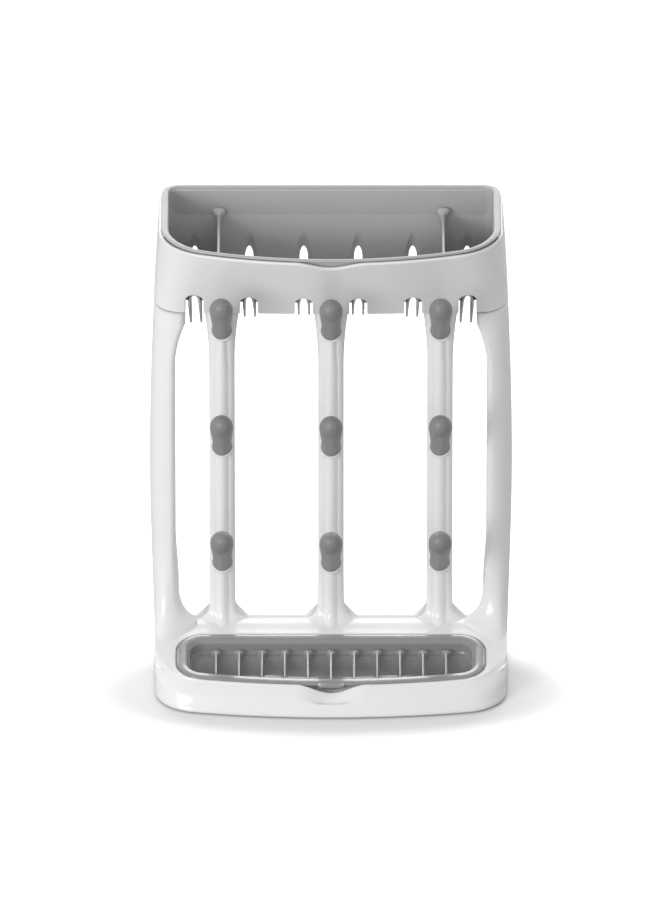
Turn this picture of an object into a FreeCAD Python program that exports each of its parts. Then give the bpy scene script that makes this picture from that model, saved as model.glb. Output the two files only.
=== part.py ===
import FreeCAD, Part

import math
import os

# A free-standing bottle drying rack for baby bottles: a base with a lift-out drip tray, five uprights,
# nine pegs and a top housing that holds a lift-out bin for small parts. Millimetres, +Z up.
# While it is modelled, Y counts back from the front edge of the base. At the end every piece moves forward
# by half the depth, so that the origin is the centre of the footprint, on the table.

# Overall sizes
rack_width = 275.0  # across the bulge of the two side posts
rack_height = 358.5  # table to the top of the bin's rim
rack_depth = 190.0  # front edge of the base to the back of the bin's rim

# Clearances
slip_gap = 0.8  # between a lift-out piece and what it sits in
pin_gap = 0.2  # round a locating pin, all the way round
sleeve_gap = 0.05  # between a peg's core and its soft sleeve

# Base
base_side_inset = 3.5  # the base is this much narrower on each side than the posts' bulge
base_bow = 630.0  # radius of the front edge in plan
base_front_corner = 35.0
base_back_corner = 18.0
base_wall = 2.6
foot_gap = 1.2  # the base's lower edge stands this high off the table
skirt_height = 13.0  # top of the front face
skirt_lean = 6.5  # how far the front face leans back
shoulder_height = 20.6  # where the shoulder meets the deck
shoulder_back = 16.5
deck_ridge = 110.0  # the deck rises to here, then falls
deck_ridge_height = 30.0
deck_back_height = 9.0
base_seam = 34.0  # where the uprights stand on the base
base_scoop_width = 52.0
base_scoop_depth = 7.0

# Drip tray
tray_side = 20.6  # from the posts' bulge to the tray's rim
tray_back = 89.5
tray_front_edge = 1.6  # from the shoulder's top to the tray's rim
tray_corner = 21.0
tray_rim = 7.0  # width of the rim
tray_rim_thick = 1.8
tray_wall = 2.0
tray_floor = 7.0  # height of the tray's underside over the table
tray_ramp_top = 14.0  # the floor's ramp starts this high on the back wall
tray_ramp_run = 18.0
rib_count = 11
rib_pitch = 17.5
rib_thick = 2.0
rib_front_height = 17.5
rib_back_height = 20.5
rib_front_drop = 3.0  # a rib's front end starts this much lower
rib_front_run = 2.0
rib_hump = 8.0  # from the tray's back wall forward to the rib's highest point
rib_shoulder = 3.0
rib_shoulder_drop = 2.0
rib_tail = 1.0  # the rib's back end stands this high over the ramp's top
tab_width = 19.5
tab_reach = 3.0

# Uprights
upright_front = 105.0  # front face of the posts and columns
post_depth = 45.0
post_width = 19.3
post_head = 24.0  # width of a post's head at the top seam
post_flare = 17.0  # how far a post's foot widens inwards
post_toe = 50.0  # the post's foot runs forward to here
post_toe_width = 13.0
post_corner = 22.0
post_back_corner = 7.0
post_knee_rise = 13.0
post_head_straight = 10.0  # the head's inner side is upright this far below the top seam
post_head_run = 49.0  # top seam down to where the head starts to open out
post_foot_run = 64.0  # base seam up to where the foot starts to widen
post_head_curl = 0.27  # share of the head's widening that its arc has at mid height
post_foot_shares = (0.05, 0.22, 0.5)  # of the foot's widening: above the knee, at it and below it
post_ankle_share = 0.35  # height of the last of these, as a share of the knee's
toe_bury = 5.0  # the toe starts this far inside the post
toe_slope = ((0.0, 56.0), (3.0, 30.0), (10.0, 12.0), (24.0, 1.0))  # forward of the post, over the seam
column_pitch = 82.6
column_width = 19.3
column_depth = 30.0
column_head = 26.8  # width at the top seam
column_foot = 35.0  # width at the base seam
column_head_run = 44.0
column_foot_run = 14.0
column_foot_mid = (0.22, 0.37)  # the foot's arc passes through these shares of its widening and its run
column_head_mid = (0.27, 0.5)  # and the head's arc through these
upright_pin_radius = 4.0
upright_pin_height = 4.6
upright_pin_set = 13.0  # from the uprights' front face back to the pins and screws
post_pin_set = 12.0  # from the base's side in to a post's pin and screw

# Pegs
peg_rise = 40.0  # degrees above level
peg_length = 84.0  # column's face to the tip
peg_neck = 7.3  # radius at the narrowest
peg_bulb = 8.8  # radius near the tip
peg_root = 8.0  # radius where it meets the column
peg_neck_length = 25.2  # from the column's face out to the neck
peg_root_lean = 0.2  # the root narrows by this much for each mm out
peg_core = 4.2  # radius of the stiff core
peg_core_length = 66.0  # length of core outside the column
peg_low_rise = 44.7  # lowest peg's root above the base seam
peg_high_drop = 14.2  # highest peg's root below the top seam

# Top housing
housing_top_inset = 7.8  # narrower at the top than the posts' bulge, on each side
housing_wall = 2.6
housing_front = 63.0  # front of the housing at its top edge
housing_bow = 340.0
housing_flat = 2500.0  # radius of the nearly straight lower front edge
housing_corner = 45.0
housing_lower_corner = 23.0
housing_back_gap = 3.4  # from the bin's rim to the housing's back
housing_back_corner = 9.0
housing_back_band = 35.0  # height of the band across the back
housing_scoop_width = 40.0
housing_scoop_depth = 6.0
notch_width = 13.4
notch_height = 19.5
pad_height = 5.4
pad_depth = 24.0
bin_seat_gap = 1.0  # from the pads up to the bin's floor
housing_stations = (0.0, 0.35, 0.7, 1.0)  # heights of the housing's sections, as shares of its own
housing_rear_run = 6.0  # the sides' rear ends are cut from here, behind the uprights,
housing_rear_rise = 3.0  # this high above the top seam, up to the band across the back

# Bin
bin_wall = 2.2
bin_rim_thick = 3.4
bin_rim_set = 1.7  # the housing's edge shows this much outside the rim
bin_floor_drop = 60.5  # rim's top to the underside of the floor at the front
bin_floor_back_drop = 82.5  # and at the back
bin_back_corner = 10.0
bin_rim_corner = 12.0
slot_width = 5.9
slot_top_drop = 52.5  # rim's top to the top of the drain slots
rail_thick = 1.6
rail_tip_drop = (90.5, 92.3, 97.3)  # rim's top to the rails' tips: inner, middle and outer slots
rail_tip_run = 43.0  # from the floor's front edge back to the tips
rail_tip_flat = 7.0
rail_back_run = 74.0
divider_thick = 2.0
divider_place = 85.0
divider_drop = 18.5

# Base plate, feet and screws
plate_thick = 2.5
plate_gap = 0.3
foot_radius = 8.0
foot_stem = 2.5
foot_stem_sink = 0.6  # the stem ends this far under the plate's top face
foot_side = 29.0
foot_front_set = 15.2  # from the base's bowed front edge back to the front feet
foot_back = 128.0
screw_shank = 1.9
screw_head = 3.6
screw_head_height = 1.6
screw_hole_gap = 0.25
boss_radius = 5.0
plate_screw_side = 11.0  # from the base's side to the front bosses
plate_screw_front = 47.0
plate_screw_back = 126.0
plate_screw_middle = 41.0
plate_screw_length = 12.0
upright_screw_bite = 12.0
seat_depth = 26.0  # solid under each upright's seat

# Worked out from the sizes above
half_width = rack_width / 2
base_half = half_width - base_side_inset
base_depth = upright_front + post_depth
top_seam = rack_height - bin_floor_drop - bin_seat_gap - pad_height
housing_top = rack_height - bin_rim_thick
housing_height = housing_top - top_seam
housing_back = rack_depth - housing_back_gap
tray_half = half_width - tray_side
tray_front = shoulder_back + tray_front_edge
tray_bow = base_bow - tray_front
plate_low = foot_gap + 1.0
plate_top = plate_low + plate_thick
seat_floor = base_seam - seat_depth
post_foot_inner = half_width - post_width - post_flare
post_pin_x = base_half - post_pin_set
pin_y = upright_front + upright_pin_set
peg_low = base_seam + peg_low_rise
peg_pitch = (top_seam - peg_high_drop - peg_low) / 2
column_places = {"left": -column_pitch, "centre": 0.0, "right": column_pitch}
row_places = {"low": peg_low, "mid": peg_low + peg_pitch, "high": peg_low + 2 * peg_pitch}
upright_places = [*column_places.values(), -post_pin_x, post_pin_x]
slot_steps = (-5, -3, -1, 1, 3, 5)  # quarters of the column pitch
up = FreeCAD.Vector(0, 0, 1)
big = 600.0  # longer than the rack in any direction
cut_past = 1.0  # a cut runs this far past the face it opens


def point(x, y, z):
    return FreeCAD.Vector(x, y, z)


def box(x0, x1, y0, y1, z0, z1):
    return Part.makeBox(x1 - x0, y1 - y0, z1 - z0, point(x0, y0, z0))


def cylinder(x, y, z0, z1, radius):
    return Part.makeCylinder(radius, z1 - z0, point(x, y, z0), up)


def both_sides(shape):
    """The shape and its mirror image across the rack's middle plane."""
    return [shape, shape.mirror(point(0, 0, 0), point(1, 0, 0))]


def d_wire(z, half, front, back, bow, front_corner, back_corner):
    """D outline at height z: straight back, straight sides, and a front bowed to radius bow."""
    reach = bow - front_corner
    corner_x = half - front_corner
    bow_y = front + bow
    corner_y = bow_y - math.sqrt(reach**2 - corner_x**2)
    tangent_x = corner_x * bow / reach
    tangent_y = bow_y - (bow_y - corner_y) * bow / reach
    lean = FreeCAD.Vector(tangent_x - corner_x, tangent_y - corner_y, 0).normalize()
    middle = (lean + point(1, 0, 0)).normalize() * front_corner
    back_x = half - back_corner
    back_y = back - back_corner
    slant = back_corner * math.sqrt(0.5)
    edges = [
        Part.LineSegment(point(back_x, back, z), point(-back_x, back, z)),
        Part.Arc(
            point(-back_x, back, z), point(-back_x - slant, back_y + slant, z), point(-half, back_y, z)
        ),
        Part.LineSegment(point(-half, back_y, z), point(-half, corner_y, z)),
        Part.Arc(
            point(-half, corner_y, z),
            point(-corner_x - middle.x, corner_y + middle.y, z),
            point(-tangent_x, tangent_y, z),
        ),
        Part.Arc(point(-tangent_x, tangent_y, z), point(0, front, z), point(tangent_x, tangent_y, z)),
        Part.Arc(
            point(tangent_x, tangent_y, z),
            point(corner_x + middle.x, corner_y + middle.y, z),
            point(half, corner_y, z),
        ),
        Part.LineSegment(point(half, corner_y, z), point(half, back_y, z)),
        Part.Arc(point(half, back_y, z), point(back_x + slant, back_y + slant, z), point(back_x, back, z)),
    ]
    return Part.Wire([edge.toShape() for edge in edges])


def prism(wire, height):
    return Part.Face(wire).extrude(point(0, 0, height))


def side_prism(outline, x0, x1):
    """A (y, z) outline carried across from x0 to x1."""
    wire = Part.makePolygon([point(x0, y, z) for y, z in outline + outline[:1]])
    return Part.Face(wire).extrude(point(x1 - x0, 0, 0))


def front_prism(edges, y0, y1):
    """A closed front outline, given as edges in the plane y = y0, carried back to y1."""
    return Part.Face(Part.Wire(edges)).extrude(point(0, y1 - y0, 0))


def scoop(width, depth, top, y0, y1):
    """A shallow round trough along Y that dips to depth below top and is width wide there."""
    radius = (width**2 / 4 + depth**2) / (2 * depth)
    return Part.makeCylinder(radius, y1 - y0, point(0, y0, top + radius - depth), point(0, 1, 0))


def deck_height(y):
    """Height of the deck's sloped top, in front of the ridge."""
    rise = (deck_ridge_height - shoulder_height) / (deck_ridge - shoulder_back)
    return shoulder_height + rise * (y - shoulder_back)


def under_deck(drop):
    """Everything below the deck's top surface, lowered by drop."""
    ends = [(-big, -big), (-big, deck_height(-big) - drop)]
    ridge = [(deck_ridge, deck_ridge_height - drop)]
    behind = [(base_depth, deck_back_height - drop), (base_depth + big, deck_back_height - drop)]
    return side_prism(ends + ridge + behind + [(base_depth + big, -big)], -big, big)


def skirt_front(z):
    """How far back the skirt's front face stands at height z."""
    return skirt_lean * (z - foot_gap) / (skirt_height - foot_gap)


def base_block(inset, drop, bottom):
    """The base's outer form, taken in by inset and lowered by drop."""
    levels = [
        (bottom, skirt_front(bottom)),
        (skirt_height - drop, skirt_lean),
        (shoulder_height - drop, shoulder_back),
        (deck_ridge_height, shoulder_back),
    ]
    wires = [
        d_wire(
            z,
            base_half - inset,
            front + inset,
            base_depth - inset,
            base_bow - inset,
            base_front_corner - inset,
            base_back_corner - inset,
        )
        for z, front in levels
    ]
    return Part.makeLoft(wires, True, True).common(under_deck(drop))


def column_outline(x, y, low, high):
    """Front outline of a column between two heights: straight, with a flared foot and head."""
    half = column_width / 2
    foot = column_foot / 2
    head = column_head / 2
    foot_top = base_seam + column_foot_run
    head_low = top_seam - column_head_run
    foot_out, foot_up = column_foot_mid
    head_out, head_up = column_head_mid
    foot_mid = (half + (foot - half) * foot_out, base_seam + column_foot_run * foot_up)
    head_mid = (half + (head - half) * head_out, head_low + column_head_run * head_up)
    right = [
        Part.Arc(
            point(x + foot, y, low), point(x + foot_mid[0], y, foot_mid[1]), point(x + half, y, foot_top)
        ),
        Part.LineSegment(point(x + half, y, foot_top), point(x + half, y, head_low)),
        Part.Arc(
            point(x + half, y, head_low), point(x + head_mid[0], y, head_mid[1]), point(x + head, y, high)
        ),
    ]
    left = [
        Part.Arc(
            point(x - head, y, high), point(x - head_mid[0], y, head_mid[1]), point(x - half, y, head_low)
        ),
        Part.LineSegment(point(x - half, y, head_low), point(x - half, y, foot_top)),
        Part.Arc(
            point(x - half, y, foot_top), point(x - foot_mid[0], y, foot_mid[1]), point(x - foot, y, low)
        ),
    ]
    top = Part.LineSegment(point(x + head, y, high), point(x - head, y, high))
    bottom = Part.LineSegment(point(x - foot, y, low), point(x + foot, y, low))
    return [edge.toShape() for edge in right + [top] + left + [bottom]]


def peg_frame(shape, x, z):
    """Carries a shape modelled along +Z to a peg's place: rooted on the column's face, rising forward."""
    placed = shape.copy()
    placed.rotate(point(0, 0, 0), point(1, 0, 0), 90.0 - peg_rise)
    placed.translate(point(x, upright_front, z))
    return placed


def peg_profile():
    """Sleeve's outline, radius against length: flared root, slim neck, round bulb."""
    bulb_middle = peg_length - peg_bulb
    root = point(peg_root, 0, 0)
    neck = point(peg_neck, 0, peg_neck_length)
    bulb = point(peg_bulb, 0, bulb_middle)
    flank = Part.BSplineCurve()
    lean = point(-peg_root_lean, 0, 1)
    flank.interpolate(Points=[root, neck, bulb], InitialTangent=lean, FinalTangent=up)
    slant = peg_bulb * math.sqrt(0.5)
    tip = Part.Arc(bulb, point(slant, 0, bulb_middle + slant), point(0, 0, peg_length))
    axis = Part.LineSegment(point(0, 0, peg_length), point(0, 0, 0))
    root_line = Part.LineSegment(point(0, 0, 0), root)
    return Part.Wire([flank.toShape(), tip.toShape(), axis.toShape(), root_line.toShape()])


def peg_body():
    """The whole peg's outer form, carried back into the column so that its root can be trimmed."""
    turned = Part.Face(peg_profile()).revolve(point(0, 0, 0), up, 360)
    tail = Part.makeCylinder(peg_root, 2 * peg_root, point(0, 0, -2 * peg_root), up)
    return turned.fuse(tail)


def peg_core_pin(margin):
    """The stiff core inside a sleeve, with an all-round margin."""
    radius = peg_core + margin
    length = peg_core_length
    pin = Part.makeCylinder(radius, length + 3 * peg_root, point(0, 0, -3 * peg_root), up)
    return pin.fuse(Part.makeSphere(radius, point(0, 0, length)))


def in_front_of_uprights():
    return box(-big, big, -big, upright_front, -big, big)


def make_sleeve(x, z):
    outer = peg_frame(peg_body(), x, z).common(in_front_of_uprights())
    return outer.cut(peg_frame(peg_core_pin(sleeve_gap), x, z))


def head_pin(x):
    """Pin on an upright's head that locates the housing."""
    return cylinder(x, pin_y, top_seam - cut_past, top_seam + upright_pin_height, upright_pin_radius)


def foot_hole(x):
    """Blind hole in an upright's foot that its screw bites into."""
    return cylinder(x, pin_y, base_seam - cut_past, base_seam + upright_screw_bite + cut_past, screw_shank)


def make_column(x):
    """One column with its three peg cores, its top pin and its screw hole."""
    body = front_prism(
        column_outline(x, upright_front, base_seam, top_seam), upright_front, upright_front + column_depth
    )
    for z in row_places.values():
        core = peg_frame(peg_core_pin(0.0), x, z).common(in_front_of_uprights())
        body = body.fuse(core)
    return body.fuse(head_pin(x)).cut(foot_hole(x))


def post_outline(y):
    """Front outline of the right post: bowed outside, opened out inside at its head and foot."""
    inner = half_width - post_width
    head_inner = base_half - post_head
    head_low = top_seam - post_head_straight
    waist_high = top_seam - post_head_run
    waist_low = base_seam + post_foot_run
    knee = base_seam + post_knee_rise
    above_knee, at_knee, below_knee = [inner - post_flare * share for share in post_foot_shares]
    ankle = base_seam + post_knee_rise * post_ankle_share
    middle_z = (base_seam + top_seam) / 2
    base_end = point(base_half, y, base_seam)
    top_end = point(base_half, y, top_seam)
    edges = [
        Part.LineSegment(point(post_foot_inner, y, base_seam), base_end),
        Part.Arc(base_end, point(half_width, y, middle_z), top_end),
        Part.LineSegment(top_end, point(head_inner, y, top_seam)),
        Part.LineSegment(point(head_inner, y, top_seam), point(head_inner, y, head_low)),
        Part.Arc(
            point(head_inner, y, head_low),
            point(inner - (inner - head_inner) * post_head_curl, y, (head_low + waist_high) / 2),
            point(inner, y, waist_high),
        ),
        Part.LineSegment(point(inner, y, waist_high), point(inner, y, waist_low)),
        Part.Arc(
            point(inner, y, waist_low),
            point(above_knee, y, (waist_low + knee) / 2),
            point(at_knee, y, knee),
        ),
        Part.Arc(
            point(at_knee, y, knee),
            point(below_knee, y, ankle),
            point(post_foot_inner, y, base_seam),
        ),
    ]
    return [edge.toShape() for edge in edges]


def post_toe_block():
    """The right post's toe: it runs forward along the base's side and dies into the deck."""
    slope = [(upright_front - forward, base_seam + rise) for forward, rise in toe_slope]
    buried = upright_front + toe_bury
    top = slope[0][1]
    tip = [(post_toe, deck_height(post_toe)), (post_toe, seat_floor)]
    outline = [(buried, seat_floor), (buried, top)] + slope + tip
    return side_prism(outline, base_half - post_toe_width, base_half)


def make_post():
    """The right post; the left one is its mirror image."""
    bar = front_prism(post_outline(upright_front), upright_front, base_depth)
    corner_wire = d_wire(
        base_seam, half_width, upright_front, base_depth, housing_flat, post_corner, post_back_corner
    )
    toe = post_toe_block().common(box(0, big, 0, big, base_seam, top_seam))
    body = bar.common(prism(corner_wire, top_seam - base_seam)).fuse(toe)
    return body.fuse(head_pin(post_pin_x)).cut(foot_hole(post_pin_x))


def outer_outline(z):
    return d_wire(z, base_half, 0, base_depth, base_bow, base_front_corner, base_back_corner)


def tray_wire(z, grow):
    """The tray's rim outline, grown all round by that much."""
    return d_wire(
        z,
        tray_half + grow,
        tray_front - grow,
        tray_back + grow,
        tray_bow + grow,
        tray_corner + grow,
        tray_corner + grow,
    )


def plate_screws():
    side = base_half - plate_screw_side
    places = [(side, plate_screw_front), (plate_screw_middle, plate_screw_back)]
    return [(sign * x, y) for x, y in places for sign in (-1, 1)]


def make_base_shell():
    """Hollow base, open below: skirt, shoulder, sloped deck, tray well, seats for the uprights, bosses."""
    outer = base_block(0.0, 0.0, foot_gap)
    shell = outer.cut(base_block(base_wall, base_wall, foot_gap - cut_past))

    foot = column_foot / 2
    seats = [
        box(x - foot, x + foot, upright_front, upright_front + column_depth, seat_floor, base_seam)
        for x in column_places.values()
    ]
    limits = prism(outer_outline(seat_floor), base_seam - seat_floor)
    post_seat = box(post_foot_inner, base_half, upright_front, base_depth, seat_floor, base_seam)
    toe_seat = post_toe_block().common(box(0, big, 0, upright_front, seat_floor, base_seam))
    for seat in (post_seat, toe_seat):
        seats += both_sides(seat.common(limits))
    for seat in seats:
        shell = shell.fuse(seat)

    for x, y in plate_screws():
        boss = cylinder(x, y, plate_top, deck_ridge_height, boss_radius)
        shell = shell.fuse(boss.common(outer))
        shell = shell.cut(cylinder(x, y, 0, plate_top + plate_screw_length, screw_shank))
    for x in upright_places:
        shell = shell.cut(cylinder(x, pin_y, 0, base_seam + cut_past, screw_shank + screw_hole_gap))

    well = prism(tray_wire(-cut_past, slip_gap - tray_rim), big)
    recess = prism(tray_wire(-cut_past, slip_gap), big).cut(under_deck(tray_rim_thick))
    shell = shell.cut(well).cut(recess)
    thumb = scoop(base_scoop_width, base_scoop_depth, shoulder_height, 0.0, tray_front + tray_rim)
    return shell.cut(thumb)


def make_tray():
    """Lift-out tray: rim, walls, floor with a ramp up to the back wall, drain ribs and a front tab."""
    rim = prism(tray_wire(0, 0.0), big).common(under_deck(0.0)).cut(under_deck(tray_rim_thick))
    body = prism(tray_wire(tray_floor, -tray_rim), big).common(under_deck(0.0))
    inside = prism(tray_wire(tray_floor + tray_wall, -tray_rim - tray_wall), big)
    back = tray_back - tray_rim - tray_wall
    ramp = side_prism(
        [
            (back - tray_ramp_run, tray_floor),
            (back + tray_wall, tray_floor),
            (back + tray_wall, tray_ramp_top),
            (back, tray_ramp_top),
            (back - tray_ramp_run, tray_floor + tray_wall),
        ],
        -big,
        big,
    )
    tray = rim.fuse(body).cut(inside.cut(ramp))
    front = tray_front + tray_rim + tray_wall
    rib_outline = [
        (front - tray_wall / 2, tray_floor + tray_wall / 2),
        (front - tray_wall / 2, rib_front_height - rib_front_drop),
        (front + rib_front_run, rib_front_height),
        (back - rib_hump, rib_back_height),
        (back - rib_shoulder, rib_back_height - rib_shoulder_drop),
        (back + tray_wall / 2, tray_ramp_top + rib_tail),
        (back + tray_wall / 2, tray_floor + tray_wall / 2),
    ]
    first = -rib_pitch * (rib_count - 1) / 2
    for step in range(rib_count):
        x = first + step * rib_pitch
        rib = side_prism(rib_outline, x - rib_thick / 2, x + rib_thick / 2)
        tray = tray.fuse(rib.common(prism(tray_wire(tray_floor, -tray_rim - tray_wall / 2), big)))
    tab_back = tray_front + tray_rim / 2
    tab = box(-tab_width / 2, tab_width / 2, tray_front - tab_reach, tab_back, 0, big)
    tab = tab.common(under_deck(0.0)).cut(under_deck(tray_rim_thick))
    return tray.fuse(tab)


def front_lean(z):
    """Share of the way from the top seam to the housing's top edge."""
    return (z - top_seam) / housing_height


def front_bow(z):
    """Radius of the front in plan: nearly straight at the seam, bowed at the top."""
    return 1 / ((1 - front_lean(z)) / housing_flat + front_lean(z) / housing_bow)


def housing_wire(z, inset):
    """Housing's outline at a height between the top seam and its top edge, taken in by inset."""
    low = (base_half, upright_front, housing_lower_corner)
    high = (half_width - housing_top_inset, housing_front, housing_corner)
    half, front, corner = [a + (b - a) * front_lean(z) for a, b in zip(low, high)]
    return d_wire(
        z,
        half - inset,
        front + inset,
        housing_back - inset,
        front_bow(z) - inset,
        corner - inset,
        housing_back_corner - inset,
    )


def make_housing():
    """Ring round the bin: open above and below, leaning out to the front, padded on the uprights' heads."""
    heights = [top_seam + housing_height * share for share in housing_stations]
    outer = Part.makeLoft([housing_wire(z, 0.0) for z in heights], True, True)
    inner = Part.makeLoft([housing_wire(z, housing_wall) for z in heights], True, True)
    ring = outer.cut(inner)
    back_low = housing_top - housing_back_band
    behind = [
        (base_depth, top_seam - cut_past),
        (housing_back + cut_past, top_seam - cut_past),
        (housing_back + cut_past, back_low),
        (housing_back - housing_wall - cut_past, back_low),
        (base_depth + housing_rear_run, top_seam + housing_rear_rise),
        (base_depth, top_seam + housing_rear_rise),
    ]
    ring = ring.cut(side_prism(behind, -big, big))

    pad_front = upright_front + housing_wall / 2
    pad_back = pad_front + pad_depth
    pad_top = top_seam + pad_height
    head = column_head / 2
    pads = [
        box(x - head, x + head, pad_front, pad_back, top_seam, pad_top)
        for x in column_places.values()
    ]
    pads += both_sides(box(base_half - post_head, base_half, pad_front, pad_back, top_seam, pad_top))
    for pad in pads:
        ring = ring.fuse(pad.common(outer))
    socket = upright_pin_radius + pin_gap
    for x in upright_places:
        ring = ring.cut(cylinder(x, pin_y, top_seam - cut_past, pad_top + cut_past, socket))

    radius = notch_width / 2
    crown_z = top_seam + notch_height - radius
    notch_back = upright_front + housing_wall + cut_past
    for step in slot_steps:
        x = step * column_pitch / 4
        straight = box(x - radius, x + radius, 0, notch_back, top_seam - cut_past, crown_z)
        crown = Part.makeCylinder(radius, notch_back, point(x, 0, crown_z), point(0, 1, 0))
        ring = ring.cut(straight.fuse(crown))
    thumb_back = housing_front + housing_scoop_width / 3
    return ring.cut(scoop(housing_scoop_width, housing_scoop_depth, housing_top, 0.0, thumb_back))


def bin_wire(z, inset):
    """Bin's wall outline: it stands clear of the housing's inner face by the slip gap."""
    inside = housing_wall + slip_gap + inset
    front = upright_front + (housing_front - upright_front) * front_lean(z)
    return d_wire(
        z,
        half_width - housing_top_inset - inside,
        front + inside,
        housing_back - inside,
        front_bow(z) - inside,
        housing_corner - inside,
        bin_back_corner - inset,
    )


def above_floor(lift):
    """Everything above the bin's floor, lifted by that much: level over the uprights, then falling back."""
    front_z = rack_height - bin_floor_drop + lift
    back_z = rack_height - bin_floor_back_drop + lift
    outline = [
        (0, front_z),
        (base_depth, front_z),
        (housing_back, back_z),
        (big, back_z),
        (big, big),
        (0, big),
    ]
    return side_prism(outline, -big, big)


def bin_block(inset, lift):
    """The bin's form, taken in by inset, down to its floor lifted by lift."""
    floor_z = rack_height - bin_floor_drop
    low = bin_wire(floor_z, inset)
    leaning = Part.makeLoft([low, bin_wire(rack_height - bin_rim_thick, inset)], True, True)
    below = prism(low, bin_floor_drop - bin_floor_back_drop)
    return leaning.fuse(below).common(above_floor(lift))


def rail_pair(x, tip_drop):
    """Two drip rails under the floor, one on each side of a drain slot."""
    front = upright_front + housing_wall + slip_gap + bin_wall
    floor_z = rack_height - bin_floor_drop + bin_wall / 2
    tip_z = rack_height - tip_drop
    outline = [
        (front, floor_z),
        (front + rail_tip_run, tip_z),
        (front + rail_tip_run + rail_tip_flat, tip_z),
        (front + rail_back_run, floor_z),
    ]
    inner = x + slot_width / 2
    outer = x - slot_width / 2
    under_floor = box(-big, big, 0, big, 0, big).cut(above_floor(bin_wall / 2))
    right = side_prism(outline, inner, inner + rail_thick)
    left = side_prism(outline, outer - rail_thick, outer)
    return right.fuse(left).common(under_floor)


def slot_cutter(x):
    """Round-topped slot from the front wall's foot, through the floor, to the back wall."""
    radius = slot_width / 2
    crown_z = rack_height - slot_top_drop - radius
    straight = box(x - radius, x + radius, 0, big, top_seam / 2, crown_z)
    return straight.fuse(Part.makeCylinder(radius, big, point(x, 0, crown_z), point(0, 1, 0)))


def make_bin():
    """Lift-out bin: leaning front, rim over the housing's edge, dividers, drain slots and drip rails."""
    rim_low = rack_height - bin_rim_thick
    rim_wire = d_wire(
        rim_low,
        half_width - housing_top_inset - bin_rim_set,
        housing_front + bin_rim_set,
        rack_depth,
        housing_bow - bin_rim_set,
        housing_corner - bin_rim_set,
        bin_rim_corner,
    )
    inner = bin_block(bin_wall, bin_wall)
    mouth = prism(bin_wire(rim_low, bin_wall), bin_rim_thick)
    shell = bin_block(0.0, 0.0).fuse(prism(rim_wire, bin_rim_thick)).cut(inner).cut(mouth)
    for x in (-divider_place, divider_place):
        half = divider_thick / 2
        plate = box(x - half, x + half, 0, big, 0, rack_height - divider_drop)
        shell = shell.fuse(plate.common(inner))
    for step in slot_steps:
        x = step * column_pitch / 4
        shell = shell.fuse(rail_pair(x, rail_tip_drop[abs(step) // 2])).cut(slot_cutter(x))
    return shell


def foot_places():
    side = base_half - foot_side
    front_edge = base_bow - math.sqrt(base_bow**2 - side**2)
    return [(sign * side, y) for y in (front_edge + foot_front_set, foot_back) for sign in (-1, 1)]


def make_base_plate():
    """Cover that closes the base from below, with holes for the screws and the feet's stems."""
    inset = base_wall + plate_gap
    wire = d_wire(
        plate_low,
        base_half - inset,
        skirt_front(plate_top + base_wall) + inset,
        base_depth - inset,
        base_bow - inset,
        base_front_corner - inset,
        base_back_corner - inset,
    )
    plate = prism(wire, plate_thick)
    for x, y in plate_screws():
        plate = plate.cut(cylinder(x, y, 0, plate_top + cut_past, screw_shank + screw_hole_gap))
    for x, y in foot_places():
        plate = plate.cut(cylinder(x, y, 0, plate_top + cut_past, foot_stem))
    return plate


def make_feet():
    """Four soft feet, each with a stem that fills its hole in the base plate."""
    feet = []
    for x, y in foot_places():
        pad = cylinder(x, y, 0, plate_low, foot_radius)
        feet.append(pad.fuse(cylinder(x, y, plate_low / 2, plate_top - foot_stem_sink, foot_stem)))
    return Part.makeCompound(feet)


def screw(x, y, head_top, length):
    """A pan-head screw, driven up from below."""
    head = cylinder(x, y, head_top - screw_head_height, head_top, screw_head)
    return head.fuse(cylinder(x, y, head_top - screw_head_height / 2, head_top + length, screw_shank))


def make_base_screws():
    return Part.makeCompound([screw(x, y, plate_low, plate_screw_length) for x, y in plate_screws()])


def make_upright_screws():
    length = seat_depth + upright_screw_bite
    return Part.makeCompound([screw(x, pin_y, seat_floor, length) for x in upright_places])


def export(name, shape):
    """Moves a piece so that the origin is the footprint's centre, and writes it."""
    placed = shape.removeSplitter()
    placed.translate(point(0, -rack_depth / 2, 0))
    if not placed.isValid():
        raise ValueError(name + " is not a valid solid")
    placed.exportStep("parts/" + name + ".step")


def main():
    os.makedirs("parts", exist_ok=True)
    export("base_shell", make_base_shell())
    export("base_plate", make_base_plate())
    export("rubber_feet", make_feet())
    export("base_screws", make_base_screws())
    export("upright_screws", make_upright_screws())
    export("drip_tray", make_tray())
    right, left = both_sides(make_post())
    export("post_right", right)
    export("post_left", left)
    for side, x in column_places.items():
        export("column_" + side, make_column(x))
        for row, z in row_places.items():
            export("peg_sleeve_" + side + "_" + row, make_sleeve(x, z))
    export("top_housing", make_housing())
    export("small_parts_bin", make_bin())


main()
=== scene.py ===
import math
from math import pi

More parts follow.
